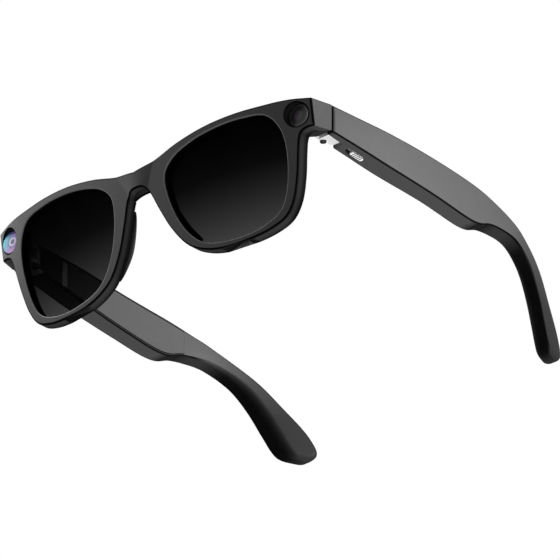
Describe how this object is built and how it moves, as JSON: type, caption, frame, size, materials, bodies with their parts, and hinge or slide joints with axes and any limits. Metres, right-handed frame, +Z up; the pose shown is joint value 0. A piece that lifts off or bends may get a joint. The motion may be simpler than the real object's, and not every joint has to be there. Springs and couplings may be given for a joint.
{
  "type": "smart glasses",
  "caption": "Smart glasses with tinted lenses, a camera and an indicator in the end pieces, and two folding temples that hold the electronics.",
  "frame": {"origin": "middle of the underside of the whole object's box, on the plane that the rims and the temple tips stand on", "axes": "+X towards the wearer's left, +Y from the front towards the temple tips, +Z up"},
  "size_m": [0.156, 0.157, 0.0446],
  "materials": {
    "frame_plastic": "fine matte moulded plastic, dark charcoal",
    "tinted_lens": "gradient tint, near black at the top, grey and clearer at the bottom",
    "nose_pad": "satin black moulded plastic",
    "indicator_glass": "dark cover glass with a ring and a small centre window",
    "camera_glass": "coated cover glass, cyan to lilac sheen",
    "black_metal": "black anodised",
    "speaker_mesh": "fine black woven mesh",
    "steel": "bright nickel plated",
    "battery_foil": "foil pouch",
    "circuit_board": "green solder mask",
    "flex_film": "amber polyimide film",
    "switch_knob": "light satin plastic, ribbed",
    "lamp_lens": "clear diffuser",
    "sensor_window": "pale grey infrared window"
  },
  "bodies": {
    "front": {"front_shell": "frame_plastic", "rear_cover": "frame_plastic", "lens_left": "tinted_lens", "lens_right": "tinted_lens", "nose_pad_left": "nose_pad", "nose_pad_right": "nose_pad", "brow_ribbon": "flex_film", "indicator_window": "indicator_glass", "indicator_bezel": "black_metal", "indicator_lamp": "lamp_lens", "indicator_board": "circuit_board", "camera_window": "camera_glass", "camera_bezel": "black_metal", "camera_barrel": "black_metal", "camera_board": "circuit_board", "hinge_front_leaf_left": "steel", "hinge_front_leaf_right": "steel", "hinge_pin_left": "black_metal", "hinge_pin_right": "black_metal"},
    "temple_left": {"temple_shell_left": "frame_plastic", "temple_cover_left": "frame_plastic", "temple_core_left": "steel", "hinge_temple_leaf_left": "steel", "leaf_screw_1_left": "steel", "leaf_screw_2_left": "steel", "battery_left": "battery_foil", "speaker_left": "black_metal", "speaker_mesh_left": "speaker_mesh", "microphone_left": "steel", "power_board": "circuit_board", "power_switch_body": "black_metal"},
    "temple_right": {"temple_shell_right": "frame_plastic", "temple_cover_right": "frame_plastic", "temple_core_right": "steel", "hinge_temple_leaf_right": "steel", "leaf_screw_1_right": "steel", "leaf_screw_2_right": "steel", "battery_right": "battery_foil", "speaker_right": "black_metal", "speaker_mesh_right": "speaker_mesh", "microphone_right": "steel", "main_board": "circuit_board", "touch_sensor": "flex_film", "wear_sensor_window": "sensor_window", "capture_switch": "black_metal"},
    "power_switch": {"power_switch_knob": "switch_knob"},
    "capture_button": {"capture_button": "frame_plastic"}
  },
  "joints": [
    {"name": "temple_left_fold", "type": "hinge", "parent": "front", "child": "temple_left", "pos_m": [0.0684, -0.05583, 0.0375], "axis": [0, 0, 1], "range_deg": [0, 86]},
    {"name": "temple_right_fold", "type": "hinge", "parent": "front", "child": "temple_right", "pos_m": [-0.0684, -0.05583, 0.0375], "axis": [0, 0, -1], "range_deg": [0, 73]},
    {"name": "power_switch_slide", "type": "slide", "parent": "temple_left", "child": "power_switch", "axis": [0, -0.9928, 0.12], "range_m": [0, 0.002]},
    {"name": "capture_button_press", "type": "slide", "parent": "temple_right", "child": "capture_button", "axis": [0, 0, -1], "range_m": [0, 0.0004], "stiffness_N_per_m": 400}
  ]
}
